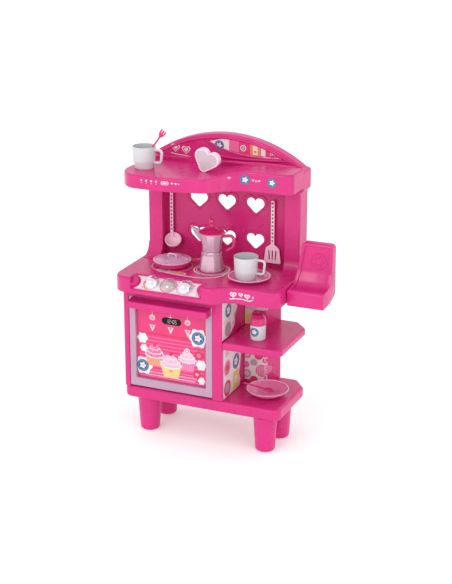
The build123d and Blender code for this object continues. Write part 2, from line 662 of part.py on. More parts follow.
def bowl_spoon():
    """Spoon laid across the bowl's rim."""
    tail, neck = Vector(52, -22, 174), Vector(112, -11, 161)
    stem = rod(2.6, tail, neck)
    head = Pos(126, -8, 157.5) * Rot(0, 6, 12) * extrude(Ellipse(17, 11), 3)
    return stem + fillet(head.edges(), 1.2)


def ladle():
    """Hanging ladle: strap handle and a round bowl that faces forwards."""
    x, y = HOOK_X[0], 110.0
    strap = block((x - 4.5, x + 4.5), (y - 1.6, y + 1.6), (540, HOOK_Z[0] + 9))
    strap = fillet(strap.edges().filter_by(Axis.Y).sort_by(Axis.Z)[-2:], 4)
    strap -= rod(3.2, (x, y - 5, HOOK_Z[0]), (x, y + 5, HOOK_Z[0]))
    ball = Pos(0, 0, -14) * Box(60, 60, 28) & (Sphere(24) - Sphere(22))
    ball = Pos(x + 11, y - 16, 534) * Rot(38, 14, 0) * ball
    neck = rod(3.4, (x, y, 548), (x + 4, y - 3, 533))
    return strap + (ball + neck - Pos(x + 11, y - 16, 534) * Sphere(21.9))


def turner():
    """Hanging slotted turner."""
    x, y = HOOK_X[1], 110.0
    strap = block((x - 5, x + 5), (y - 1.6, y + 1.6), (543, HOOK_Z[1] + 7))
    strap = fillet(strap.edges().filter_by(Axis.Y).sort_by(Axis.Z)[-2:], 4.5)
    strap -= rod(3.2, (x, y - 5, HOOK_Z[1]), (x, y + 5, HOOK_Z[1]))
    outline = rounded([(x - 26, 496), (x - 20, 540), (x - 6, 551), (x + 6, 551), (x + 20, 540), (x + 26, 496)],
                      [4, 7, 4, 4, 7, 4])
    blade = upright(outline, y - 1.6, y + 1.6)
    slots = [upright(Pos(x + dx, 520) * Rot(0, 0, 90 - dx * 0.5) * SlotOverall(28, 4), y - 5, y + 5)
             for dx in (-10, 0, 10)]
    return strap + blade - slots


def main():
    legs()
    save("base_board", base_board())
    save("leg_screws", leg_screws())
    save("oven_cabinet", oven_cabinet())
    save("shelf_column", shelf_column())
    save("middle_shelf", middle_shelf())
    save("worktop", worktop())
    knobs()
    save("door_frame", door_frame())
    save("door_hinge_pins", hinge_pins())
    front = CARCASS_FRONT
    save("door_window", door_layer(front + 9, front + 11))
    save("door_picture", door_layer(front + 11, front + 12))
    save("door_display", door_display())
    save("door_handle", door_handle())
    save("back_panel", back_panel())
    save("utensil_pegs", utensil_pegs())
    save("hood_shelf", hood_shelf())
    save("side_seat", side_seat())
    save("side_seat_pegs", seat_pegs())
    save("saucer", saucer())
    save("cup", cup((58, -22), WORKTOP_Z + CLEAR + 3 + CLEAR, 27, 34, 64, 3.4))
    save("mug", cup(MUG, TRAY_TOP + CLEAR, 27, 33, 61, 3.8))
    save("mug_fork", mug_fork())
    save("pot", pot())
    save("pot_lid", pot_lid())
    save("moka_base", moka_base())
    save("moka_top", moka_top())
    save("moka_handle", moka_handle())
    save("moka_lid", moka_lid())
    rim, face = heart_mould()
    save("heart_mould_rim", rim)
    save("heart_mould_face", face)
    save("shaker_body", shaker_body())
    save("shaker_cap", shaker_cap())
    save("bowl", bowl())
    save("bowl_spoon", bowl_spoon())
    save("ladle", ladle())
    save("turner", turner())


main()
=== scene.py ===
import json
import math

import bmesh
import bpy
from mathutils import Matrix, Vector
from mathutils.bvhtree import BVHTree


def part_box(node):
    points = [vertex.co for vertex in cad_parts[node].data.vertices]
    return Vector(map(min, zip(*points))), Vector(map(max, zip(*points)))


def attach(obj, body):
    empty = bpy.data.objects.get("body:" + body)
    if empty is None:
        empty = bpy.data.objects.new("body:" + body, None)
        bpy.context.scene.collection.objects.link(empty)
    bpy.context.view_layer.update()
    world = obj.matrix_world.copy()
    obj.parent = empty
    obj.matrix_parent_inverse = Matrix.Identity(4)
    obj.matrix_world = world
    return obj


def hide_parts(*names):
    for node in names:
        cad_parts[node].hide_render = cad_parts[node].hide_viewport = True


# Toy kitchen: materials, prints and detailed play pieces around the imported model. Metres, Z up.

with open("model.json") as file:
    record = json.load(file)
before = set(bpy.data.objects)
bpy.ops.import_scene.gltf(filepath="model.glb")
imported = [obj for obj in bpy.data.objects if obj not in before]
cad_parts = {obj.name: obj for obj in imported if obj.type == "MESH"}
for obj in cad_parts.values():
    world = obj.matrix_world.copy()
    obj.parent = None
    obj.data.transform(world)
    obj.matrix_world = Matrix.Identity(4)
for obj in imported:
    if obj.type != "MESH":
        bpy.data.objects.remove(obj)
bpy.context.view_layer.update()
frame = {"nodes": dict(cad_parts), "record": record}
NODES = frame["nodes"]
MM = 0.001
TWO_PI = 2 * math.pi
BUMPY = 0.055                     # plastics with less peel than this have no bump
LIFT, LAYER = 0.00020, 0.000014   # how far a print, and each shape over it, stands off its surface
CHEEK_R = 21                      # bites in the bay sticker, round the cheeks
X, Y, Z = Vector((1, 0, 0)), Vector((0, 1, 0)), Vector((0, 0, 1))


# ---- materials ----
def new_material(name):
    """A material, its node tree and its shader."""
    material = bpy.data.materials.new(name)
    material.use_nodes = True
    tree = material.node_tree
    return material, tree, tree.nodes["Principled BSDF"]


def noise(tree, scale, detail=2.0):
    """Noise in the object's own space."""
    where = tree.nodes.new("ShaderNodeTexCoord")
    texture = tree.nodes.new("ShaderNodeTexNoise")
    texture.inputs["Scale"].default_value = scale
    texture.inputs["Detail"].default_value = detail
    tree.links.new(where.outputs["Object"], texture.inputs["Vector"])
    return texture.outputs["Fac"]


def ramp(tree, source, low, high):
    """Spread a noise value between low and high."""
    spread = tree.nodes.new("ShaderNodeMapRange")
    spread.inputs["From Min"].default_value = 0.3
    spread.inputs["From Max"].default_value = 0.7
    spread.inputs["To Min"].default_value = low
    spread.inputs["To Max"].default_value = high
    tree.links.new(source, spread.inputs["Value"])
    return spread.outputs["Result"]


def plastic(name, colour, rough=0.3, vary=0.06, peel=0.05, **sockets):
    """Moulded plastic: cloudy colour, uneven gloss and, where peel is high enough, a soft bump."""
    material, tree, shader = new_material(name)
    mix = tree.nodes.new("ShaderNodeMix")
    mix.data_type = "RGBA"
    mix.inputs["A"].default_value = tuple(c * (1 - vary) for c in colour) + (1,)
    mix.inputs["B"].default_value = tuple(min(1, c * (1 + vary) + vary * 0.03) for c in colour) + (1,)
    tree.links.new(ramp(tree, noise(tree, 9.0), 0.0, 1.0), mix.inputs["Factor"])
    tree.links.new(mix.outputs["Result"], shader.inputs["Base Color"])
    gloss = ramp(tree, noise(tree, 38.0, 3.0), rough * 0.85, rough * 1.2)
    tree.links.new(gloss, shader.inputs["Roughness"])
    if peel > BUMPY:
        bump = tree.nodes.new("ShaderNodeBump")
        bump.inputs["Strength"].default_value = peel
        bump.inputs["Distance"].default_value = 0.0004
        tree.links.new(noise(tree, 60.0, 0.0), bump.inputs["Height"])
        tree.links.new(bump.outputs["Normal"], shader.inputs["Normal"])
    for socket, value in sockets.items():
        shader.inputs[socket.replace("_", " ")].default_value = value
    return material


PINK = (0.62, 0.018, 0.188)
FINISH = {
    "pink_plastic": plastic("pink moulded plastic", PINK, 0.30, Coat_Weight=0.08, Specular_IOR_Level=0.36),
    "door_plastic": plastic("lilac door plastic", (0.46, 0.29, 0.40), 0.34, Coat_Weight=0.15),
    "clear_window": plastic("clear window", (0.95, 0.93, 0.96), 0.08, 0.01, 0.02, Alpha=0.10),
    "print": plastic("printed card", (0.86, 0.07, 0.22), 0.42, 0.10, 0.03),
    "display": plastic("black display", (0.004, 0.003, 0.004), 0.10, 0.3, 0.02, Specular_IOR_Level=0.12),
    "knob_silver": plastic("metallised knob", (0.80, 0.72, 0.80), 0.16, 0.08, 0.04, Metallic=0.75),
    "knob_grey": plastic("grey knob", (0.52, 0.42, 0.44), 0.26, 0.10, 0.06, Metallic=0.35),
    "steel": plastic("zinc steel", (0.55, 0.55, 0.57), 0.32, 0.10, 0.12, Metallic=1.0),
    "white_plastic": plastic("white plastic", (0.60, 0.61, 0.63), 0.28, 0.03, 0.04, Coat_Weight=0.15),
    "pale_pink_plastic": plastic("pale pink plastic", (0.95, 0.66, 0.78), 0.33, 0.06, 0.05),
    "hot_pink_plastic": plastic("deep pink plastic", (0.60, 0.016, 0.155), 0.26, 0.08, 0.06,
            Coat_Weight=0.15),
    "lilac_translucent": plastic("translucent lilac plastic", (0.80, 0.50, 0.70), 0.24, 0.10, 0.05,
                                 Transmission_Weight=0.25, Coat_Weight=0.3),
    "pink_translucent": plastic("translucent pink plastic", (0.94, 0.27, 0.54), 0.24, 0.08, 0.05,
                                Transmission_Weight=0.25, Coat_Weight=0.3),
    "mould_face": plastic("translucent grey plastic", (0.66, 0.60, 0.64), 0.30, 0.08, 0.05,
                          Transmission_Weight=0.15),
}


SILVER_LILAC = plastic("silvery lilac plastic", (0.66, 0.44, 0.56), 0.20, 0.22, 0.05, Metallic=0.35,
        Coat_Weight=0.4)


def finish_cad_nodes():
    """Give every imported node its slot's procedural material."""
    slots = {part["node"]: part["material_slot"] for part in frame["record"]["subparts"]}
    for name, node in NODES.items():
        for index in range(max(1, len(node.material_slots))):
            if not node.material_slots:
                node.data.materials.append(None)
            node.material_slots[index].material = FINISH[slots[name]]


# ---- camera, light and floor ----
def look(azimuth, elevation, distance, target, lens):
    """A camera on a sphere about the target."""
    a, e = math.radians(azimuth), math.radians(elevation)
    back = Vector((math.sin(a) * math.cos(e), -math.cos(a) * math.cos(e), math.sin(e)))
    data = bpy.data.cameras.new("camera")
    data.lens = lens
    data.sensor_width = 36.0
    camera = bpy.data.objects.new("camera", data)
    camera.location = Vector(target) + back * distance
    camera.rotation_euler = back.to_track_quat("Z", "Y").to_euler()
    bpy.context.scene.collection.objects.link(camera)
    bpy.context.scene.camera = camera


def area_light(name, place, aim, size, power):
    """A rectangular light at place, turned to aim."""
    data = bpy.data.lights.new(name, "AREA")
    data.shape = "RECTANGLE"
    data.size, data.size_y = size
    data.energy = power
    light = bpy.data.objects.new(name, data)
    light.location = place
    light.rotation_euler = (Vector(place) - Vector(aim)).to_track_quat("Z", "Y").to_euler()
    bpy.context.scene.collection.objects.link(light)


def studio():
    """White surroundings, a soft key in front, a narrow strip each side and a white floor."""
    world = bpy.data.worlds.new("world")
    world.use_nodes = True
    background = world.node_tree.nodes["Background"]
    background.inputs["Color"].default_value = (1, 1, 1, 1)
    background.inputs["Strength"].default_value = 1.0
    bpy.context.scene.world = world
    bpy.context.scene.view_settings.view_transform = "Standard"
    area_light("key", (-0.5, -2.7, 2.0), (0, 0, 0.5), (0.9, 0.9), 17)
    area_light("strip", (2.2, -1.3, 0.9), (0, 0, 0.6), (0.14, 1.6), 7)
    area_light("left strip", (-1.9, -1.9, 0.8), (0, 0, 0.6), (0.10, 1.4), 3)
    bpy.ops.mesh.primitive_grid_add(x_subdivisions=8, y_subdivisions=8, size=60, location=(0, 0, 0))
    floor = bpy.context.object
    floor.name = "floor"
    floor.data.materials.append(plastic("white floor", (0.90, 0.90, 0.90), 0.8, 0.004, 0.0,
            Emission_Color=(1, 1, 1, 1), Emission_Strength=0.22))


# ---- print inks ----
def ink(name, colour):
    """A printed colour, slightly cloudy and half matt."""
    return plastic(name, colour, 0.38, 0.05, 0.02)


INK = {
    "white": ink("white ink", (0.756, 0.722, 0.731)),
    "cream": ink("cream ink", (0.781, 0.706, 0.605)),
    "pale": ink("pale pink ink", (0.773, 0.437, 0.571)),
    "rose": ink("rose ink", (0.722, 0.134, 0.319)),
    "pink": ink("strong pink ink", (0.706, 0.0294, 0.168)),
    "red": ink("red ink", (0.63, 0.0168, 0.0672)),
    "blue": ink("blue ink", (0.0336, 0.109, 0.252)),
    "sky": ink("light blue ink", (0.185, 0.353, 0.521)),
    "grey": ink("grey ink", (0.378, 0.353, 0.378)),
    # This dark ink is painted shade: it stands in for the utensils' holes.
    "hole_shade": ink("painted hole shade ink", (0.22, 0.035, 0.09)),
    "dark": ink("dark ink", (0.042, 0.0252, 0.0336)),
    "yellow": ink("yellow ink", (0.756, 0.571, 0.134)),
    "orange": ink("orange ink", (0.756, 0.252, 0.101)),
}


# ---- flat shapes, millimetres in a plane ----
def disc(x, y, r, steps=28):
    """A round outline."""
    return [(x + r * math.cos(t), y + r * math.sin(t)) for t in turns(steps)]


def turns(steps, start=0.0, end=TWO_PI):
    """Even steps of angle from start up to, but not including, end."""
    return [start + (end - start) * i / steps for i in range(steps)]


def patch(x0, y0, x1, y1):
    """A rectangle between two corners."""
    return [(x0, y0), (x1, y0), (x1, y1), (x0, y1)]


def pill(x, y, w, h, steps=8):
    """A slot shape centred on x, y."""
    r = h / 2
    right = [(x + w / 2 - r + r * math.cos(t), y + r * math.sin(t)) for t in turns(steps + 1,
            -math.pi / 2, math.pi / 2 + 0.35)]
    left = [(x - w / 2 + r + r * math.cos(t), y + r * math.sin(t)) for t in turns(steps + 1, math.pi / 2,
            1.5 * math.pi + 0.35)]
    return right + left


def heart(x, y, w):
    """A heart w wide."""
    points = []
    for t in turns(30):
        u = 16 * math.sin(t) ** 3
        v = 13 * math.cos(t) - 5 * math.cos(2 * t) - 2 * math.cos(3 * t) - math.cos(4 * t)
        points.append((u * w / 32, (v + 2.5) * w / 32))
    return [(x + u, y + v) for u, v in reversed(points)]


def petals(x, y, r, count=5, dip=0.62, steps=40, squash=1.0):
    """A flower outline, flattened by squash."""
    reach = [r * (1 - (1 - dip) * (0.5 - 0.5 * math.cos(count * t))) for t in turns(steps)]
    return [(x + d * math.cos(t), y + squash * d * math.sin(t)) for d, t in zip(reach, turns(steps))]


def stroke(points, width):
    """A ribbon of even width along a line of points."""
    left, right = [], []
    for i, (x, y) in enumerate(points):
        ax, ay = points[max(0, i - 1)]
        bx, by = points[min(len(points) - 1, i + 1)]
        d = math.hypot(bx - ax, by - ay) or 1.0
        nx, ny = -(by - ay) / d * width / 2, (bx - ax) / d * width / 2
        left.append((x + nx, y + ny))
        right.append((x - nx, y - ny))
    return right + left[::-1]


def arc(x, y, r, start, end, width, steps=24):
    """Part of a ring, angles in degrees."""
    a, b = math.radians(start), math.radians(end)
    return stroke([(x + r * math.cos(a + (b - a) * i / steps), y + r * math.sin(a + (b - a) * i / steps))
                   for i in range(steps + 1)], width)


def ring(x, y, r, width, colour):
    """A whole ring, drawn as three arcs."""
    return [(arc(x, y, r, start, start + 120, width), colour) for start in (0, 120, 240)]


def emblem(x, y, r):
    """The kitchen's round mark: a blue disc, a paler ring and a flower."""
    return [(disc(x, y, r), "blue"), (disc(x, y, r * 0.84), "sky"), (disc(x, y, r * 0.76), "blue"),
            (petals(x, y, r * 0.60), "white"), (heart(x, y, r * 0.5), "pale")]


def cupcake(x, y, w, wrapper, icing, cherry="red"):
    """A cupcake: a pleated case, three swirls of icing and a cherry."""
    h = w * 0.5
    shapes = [([(x - w * 0.36, y - h), (x + w * 0.36, y - h), (x + w * 0.5, y), (x - w * 0.5, y)], wrapper)]
    for k in range(-3, 4):
        top, foot = x + k * w * 0.14, x + k * w * 0.10
        shapes.append((stroke([(foot, y - h + 1), (top, y - 1)], w * 0.022), "pale"))
    for k, wide in enumerate((1.14, 0.90, 0.60)):
        shapes.append((petals(x, y + w * (0.12 + 0.17 * k), w * wide / 2, 9 - 2 * k, 0.86, squash=0.42),
                "white"))
        shapes.append((petals(x, y + w * (0.13 + 0.17 * k), w * wide / 2 * 0.88, 9 - 2 * k, 0.86,
                squash=0.38), icing))
    shapes += [(disc(x + w * dx, y + w * dy, w * 0.024, 8), "white") for dx,
            dy in ((-0.3, 0.12), (0.05, 0.08), (0.3, 0.16), (-0.12, 0.3), (0.16, 0.34), (-0.02, 0.48))]
    return shapes + [(disc(x, y + w * 0.60, w * 0.08), cherry)]


# ---- stickers ----
def surface(node):
    """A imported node's mesh, ready to have lines cast at it."""
    mesh = NODES[node].data
    return BVHTree.FromPolygons([v.co for v in mesh.vertices], [p.vertices for p in mesh.polygons])


SURFACES = {}


def sticker(name, node, origin, u, v, shapes, body="cabinet", step=4.0, slot="print", reach=0.2):
    """Printed shapes drawn in the plane of u and v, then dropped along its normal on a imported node."""
    n = u.cross(v).normalized()
    if node not in SURFACES:
        SURFACES[node] = surface(node)
    tree = SURFACES[node]
    inks, whole = [], bmesh.new()
    for layer, (outline, colour) in enumerate(shapes):
        if colour not in inks:
            inks.append(colour)
        bm = bmesh.new()
        face = bm.faces.new([bm.verts.new((x, y, 0)) for x, y in outline])
        bmesh.ops.triangulate(bm, faces=[face])
        for _ in range(4):
            long_edges = [e for e in bm.edges if e.calc_length() > step]
            if not long_edges:
                break
            bmesh.ops.subdivide_edges(bm, edges=long_edges, cuts=1, use_grid_fill=True)
        bmesh.ops.triangulate(bm, faces=bm.faces[:])
        rise = LIFT + LAYER * layer
        missed = []
        for vert in bm.verts:
            at = origin + u * (vert.co.x * MM) + v * (vert.co.y * MM)
            hit = tree.ray_cast(at + n * 0.01, -n, reach)[0]
            if hit is None:
                missed.append(vert)
            else:
                vert.co = hit + n * rise
        bmesh.ops.delete(bm, geom=missed, context="VERTS")
        made = [whole.verts.new(vert.co) for vert in bm.verts]
        bm.verts.index_update()
        for f in bm.faces:
            corner = [made[vert.index] for vert in f.verts]
            if (corner[1].co - corner[0].co).cross(corner[2].co - corner[0].co).dot(n) < 0:
                corner.reverse()
            whole.faces.new(corner).material_index = inks.index(colour)
        bm.free()
    mesh = bpy.data.meshes.new(name)
    whole.to_mesh(mesh)
    whole.free()
    for colour in inks:
        mesh.materials.append(INK[colour])
    piece = bpy.data.objects.new(name, mesh)
    bpy.context.scene.collection.objects.link(piece)
    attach(piece, body)
    return piece


# ---- raised mouldings ----
def moulding(name, points, radius, material, body, closed=False):
    """A smooth raised bead along points, thinner at its open ends."""
    curve = bpy.data.curves.new(name, "CURVE")
    curve.dimensions = "3D"
    curve.bevel_depth = radius
    curve.bevel_resolution = 4
    curve.use_fill_caps = True
    spline = curve.splines.new("NURBS")
    spline.points.add(len(points) - 1)
    for i, p in enumerate(points):
        spline.points[i].co = (*p, 1)
        spline.points[i].radius = 1.0 if closed or 0 < i < len(points) - 1 else 0.4
    spline.order_u = 4
    spline.use_endpoint_u = not closed
    spline.use_cyclic_u = closed
    curve.resolution_u = 5
    shape = bpy.data.objects.new(name, curve)
    bpy.context.scene.collection.objects.link(shape)
    mesh = bpy.data.meshes.new_from_object(shape.evaluated_get(bpy.context.evaluated_depsgraph_get()))
    bpy.data.objects.remove(shape)
    mesh.materials.clear()
    mesh.materials.append(material)
    piece = bpy.data.objects.new(name, mesh)
    bpy.context.scene.collection.objects.link(piece)
    piece.data.shade_smooth()
    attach(piece, body)
    return piece


def lathe(name, centre, profile, material, body, facets):
    """Turn (radius, height) points round a vertical line, with flat sides."""
    bm = bmesh.new()
    rings = []
    for r, z in profile:
        if r < 1e-6:
            rings.append([bm.verts.new((centre[0], centre[1], z))])
            continue
        rings.append([bm.verts.new((centre[0] + r * math.cos(t), centre[1] + r * math.sin(t), z))
                      for t in turns(facets, math.pi / facets, math.pi / facets + 2 * math.pi)])
    for a, b in zip(rings, rings[1:]):
        for i in range(facets):
            j = (i + 1) % facets
            if len(a) == 1 and len(b) > 1:
                bm.faces.new((a[0], b[j], b[i]))
            elif len(b) == 1 and len(a) > 1:
                bm.faces.new((a[i], a[j], b[0]))
            elif len(a) > 1:
                bm.faces.new((a[i], a[j], b[j], b[i]))
    bmesh.ops.recalc_face_normals(bm, faces=bm.faces[:])
    return finish_piece(name, bm, material, body, False)


def finish_piece(name, bm, material, body, smooth=True, bevel=0.0):
    """Turn a bmesh into a shown piece."""
    mesh = bpy.data.meshes.new(name)
    bm.to_mesh(mesh)
    bm.free()
    mesh.materials.append(material)
    piece = bpy.data.objects.new(name, mesh)
    bpy.context.scene.collection.objects.link(piece)
    if bevel:
        soft = piece.modifiers.new("soft edges", "BEVEL")
        soft.width = bevel
        soft.segments = 3
        soft.limit_method = "ANGLE"
        soft.angle_limit = math.radians(30)
    if smooth:
        mesh.shade_smooth()
    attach(piece, body)
    return piece


# ---- places, metres ----
CROWN_Y, RECESS_Y = 0.106, 0.120     # front faces of the crown and of the heart panel
ARCH_R, ARCH_Z = 0.377, 0.4695       # the crown arch and the height of its centre
TOP_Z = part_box("worktop")[1].z
CABINET_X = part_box("oven_cabinet")[1].x
SLOPE = Vector((0, 45, 36)).normalized()
BAY_MIDDLE = Vector((0, -0.1155, 0.467))


def front_plane(node, y=None):
    """Draw in x and z on a face that looks forwards."""
    return Vector((0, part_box(node)[0].y if y is None else y, 0)), X, Z


def leaf_top(x):
    """Height of the crown leaf's upper edge."""
    return 848.2 - 0.00232 * (x + 27) ** 2 - 0.0006 * (x + 27)


def leaf_bottom(x):
    """Height of the crown leaf's lower edge."""
    t = (x + 123) / 248
    return 840 - 45 * (1 - (1 - t) ** 3.2) + 7 * t ** 2


def leaf(x0, x1, inset=0.0, steps=24):
    """Part of the crown's leaf between two x values."""
    xs = [x0 + (x1 - x0) * i / steps for i in range(steps + 1)]
    low = [(x, leaf_bottom(x) + inset) for x in xs]
    high = [(x, leaf_top(x) - inset) for x in xs]
    return low + [p for p, q in zip(reversed(high), reversed(low)) if p[1] > q[1] + 0.2]


def crown_stickers():
    """The leaf's print and the two hearts beside it."""
    badge = [(disc(-3, 822, 9), "white"), (disc(-3, 822, 6.5), "dark"), (disc(-3, 822, 5), "pale"),
            (heart(-3, 822, 6), "rose")]
    art = [(leaf(-117, 117), "pale"), (leaf(-112, 110, 1.6), "pink"), (leaf(-112, -46, 2.2), "white")]
    art += emblem(-76, 823, 14.5)
    art += [(leaf(-46, -16, 4), "rose"), (leaf(18, 48, 4), "orange"), (leaf(26, 40, 6), "cream"),
            (leaf(50, 64, 5), "white")]
    art += badge + [(arc(84, 812, 6, -30, 230, 2), "pale"), (heart(33, 814, 9), "rose"),
            (disc(84, 812, 2.4), "white")]
    sticker("crown_sticker", "back_panel", *front_plane("back_panel", 0.100), art)
    marks = []
    for x, z in ((-211, 803), (-178, 799)):
        marks += [(heart(x, z, 27), "white"), (heart(x, z, 21), "pink"), (heart(x, z + 1, 12), "white")]
    marks += [(stroke([(-226, 788), (-205, 785), (-182, 784), (-160, 781)], 2.2), "white")]
    sticker("crown_hearts", "back_panel", *front_plane("back_panel", 0.100), marks)


def hood_stickers():
    """Small icons on the hood's left and round marks on its right."""
    row = []
    for i in range(4):
        x = -213 + 15 * i
        row += [(disc(x, 761, 2.6), "white"), (heart(x, 753.5, 3.4), "pale")]
    row += [(pill(-143, 759, 22, 10), "white"), (pill(-143, 759, 19, 7.4), "rose"),
            (patch(-148, 757.6, -138, 760.4), "white")]
    row += [(heart(-123, 759, 6), "white"), (disc(-113, 759, 2.6), "white"), (heart(-105, 758, 5), "pale")]
    sticker("hood_icons", "hood_shelf", *front_plane("hood_shelf"), row)
    marks = [(heart(15, 772, 8), "pale")] + emblem(54, 767, 14) + emblem(131, 765, 14)
    marks += [(heart(85 + dx, 766 + dz, 7.5), "pale") for dx, dz in ((-9, 0), (0, -1.5), (9, 0))]
    sticker("hood_marks", "hood_shelf", *front_plane("hood_shelf"), marks)


def bay_outline(inset=0.0):
    """The knob sticker: a strip bitten at both ends by the round cheeks."""
    right = [(-22 + (CHEEK_R + inset) * math.cos(math.radians(a)),
            (CHEEK_R + inset) * math.sin(math.radians(a))) for a in range(245, 114, -10)]
    left = [(-240 + (CHEEK_R + inset) * math.cos(math.radians(a)),
            (CHEEK_R + inset) * math.sin(math.radians(a))) for a in range(65, -66, -10)]
    return ([(-229, -22 + inset), (-33, -22 + inset)] + right + [(-33, 22 - inset),
            (-233, 22 - inset)] + left)


def bay_sticker():
    """The strip under the knobs."""
    art = [(bay_outline(), "pale"), (bay_outline(1.6), "cream"), (bay_outline(3.2), "white")]
    art += [(arc(-184, 3, 22.5, 110, 265, 6), "yellow"), (arc(-184, 3, 24, 170, 250, 4), "orange")]
    art += ring(-134, 3, 23.5, 3, "rose") + ring(-83, 3, 25, 2.4, "pale")
    art += [(heart(-58, 12, 7), "rose"), (heart(-56, -10, 5), "pale"), (disc(-208, -14, 2.4), "rose")]
    sticker("bay_sticker", "worktop", BAY_MIDDLE, X, SLOPE, art)


OVAL_STRETCH, OVAL_SHIFT = 1.5, -44.0    # the grey oval: widened, then moved along x


def hob_stickers():
    """Rings under the pan and the coffee pot, and the strip in front of them."""
    sweep = [(-192, -50), (-160, -59), (-120, -64), (-85, -65), (-55, -61), (-27, -48), (-11, -22),
            (-7, 8), (-14, 38), (-30, 60)]
    art = [([(-194, -46), (-150, -60), (-108, -58), (-112, -40), (-150, -38)], "pale"),
           ([(-186, -47), (-150, -56), (-114, -54), (-118, -44), (-150, -43)], "orange"),
           ([(x * OVAL_STRETCH + OVAL_SHIFT, y) for x, y in disc(-92, -44, 15)],
                   "pale"), ([(x * OVAL_STRETCH + OVAL_SHIFT, y) for x, y in disc(-92, -44, 11)], "grey"),
           (stroke(sweep, 7), "pale"), (stroke(sweep, 3.6), "white")]
    art += ring(-60, 17, 50, 4, "white") + ring(-60, 17, 43, 3, "pale") + ring(-177, 4, 58, 3, "pale")
    sticker("hob_sticker", "worktop", Vector((0, 0, TOP_Z)), X, Y, art)


def apron_marks():
    """Hearts over a line, on the worktop's front."""
    marks = []
    for x, z, w in ((58, 465, 19), (80, 467, 14), (99, 464, 17)):
        marks += [(heart(x, z, w), "white"), (heart(x, z, w * 0.62), "rose"), (heart(x, z, w * 0.3), "white")]
    marks += [(stroke([(48, 453), (64, 455), (86, 456), (104, 453), (116, 458)], 2.4), "white"),
            (disc(116, 465, 2.6), "white")]
    sticker("apron_marks", "worktop", Vector((0, -0.12, 0)), X, Z, marks)


def door_art():
    """The oven window's print: lamps over three cupcakes on pink stripes."""
    art = [(patch(-245.5, 170.5, -27.5, 386.5), "pink")]
    art += [(patch(-236, 176 + 11 * k, -38, 179 + 11 * k), "rose") for k in range(12)]
    art += [(patch(-236, 306, -38, 311), "red"), (patch(-212, 181, -64, 184), "pale"),
            (patch(-218, 191, -60, 193), "pale")]
    for x, z, r in ((-226, 208, 29), (-54, 316, 30), (-228, 292, 17), (-45, 236, 17), (-224, 262, 12),
            (-44, 188, 12)):
        art.append((petals(x, z, r, 6, 0.8), "white"))
    for x in (-196, -139, -86):
        art += [(patch(x - 0.8, 366, x + 0.8, 385), "pale"), (disc(x, 358, 9), "pale"),
                (disc(x, 356, 5), "grey"),
                ([(x - 9, 336), (x + 9, 336), (x, 316)],
                        "white"), ([(x - 5, 335), (x + 5, 335), (x, 323)], "rose")]
    art += [(disc(-52, 264, 13), "red"), (disc(-58, 205, 12), "red"), (disc(-52, 264, 7), "rose"),
            (heart(-58, 205, 11), "pale")]
    art += cupcake(-190, 240, 58, "orange", "rose") + cupcake(-88, 240, 54, "rose", "pale")
    art += [(disc(-88, 272, 9), "white"), (disc(-88, 272, 6), "rose"), (disc(-88, 272, 3), "white")]
    art += cupcake(-139, 216, 64, "yellow", "pale")
    art += [(heart(-139, 202, 11), "orange")] + emblem(-228, 208, 18) + emblem(-54, 316, 19)
    sticker("door_print", "door_window", *front_plane("door_window"), art, body="oven_door", step=12.0)


SEGMENTS = {"0": "abcdef", "1": "bc", "2": "abged", "5": "afgcd"}


def display_digits():
    """Small seven-segment digits on the oven's display."""
    lo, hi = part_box("door_display")
    cx, cz = (lo.x + hi.x) / 2 / MM, (lo.z + hi.z) / 2 / MM
    bars = {"a": (-2, 4.6, 2, 5.4), "g": (-2, -0.4, 2, 0.4), "d": (-2, -5.4, 2, -4.6),
            "f": (-2.6, 0.6, -1.8, 4.6),
            "b": (1.8, 0.6, 2.6, 4.6), "e": (-2.6, -4.6, -1.8, -0.6), "c": (1.8, -4.6, 2.6, -0.6)}
    art = [(disc(cx, cz + 2.2, 0.7), "white"), (disc(cx, cz - 2.2, 0.7), "white")]
    for x, digit in ((-13, "1"), (-6, "2"), (6, "0"), (13, "5")):
        for part in SEGMENTS[digit]:
            x0, z0, x1, z1 = bars[part]
            art.append((patch(cx + x + x0, cz + z0, cx + x + x1, cz + z1), "white"))
    sticker("display_digits", "door_display", *front_plane("door_display"), art, body="oven_door")


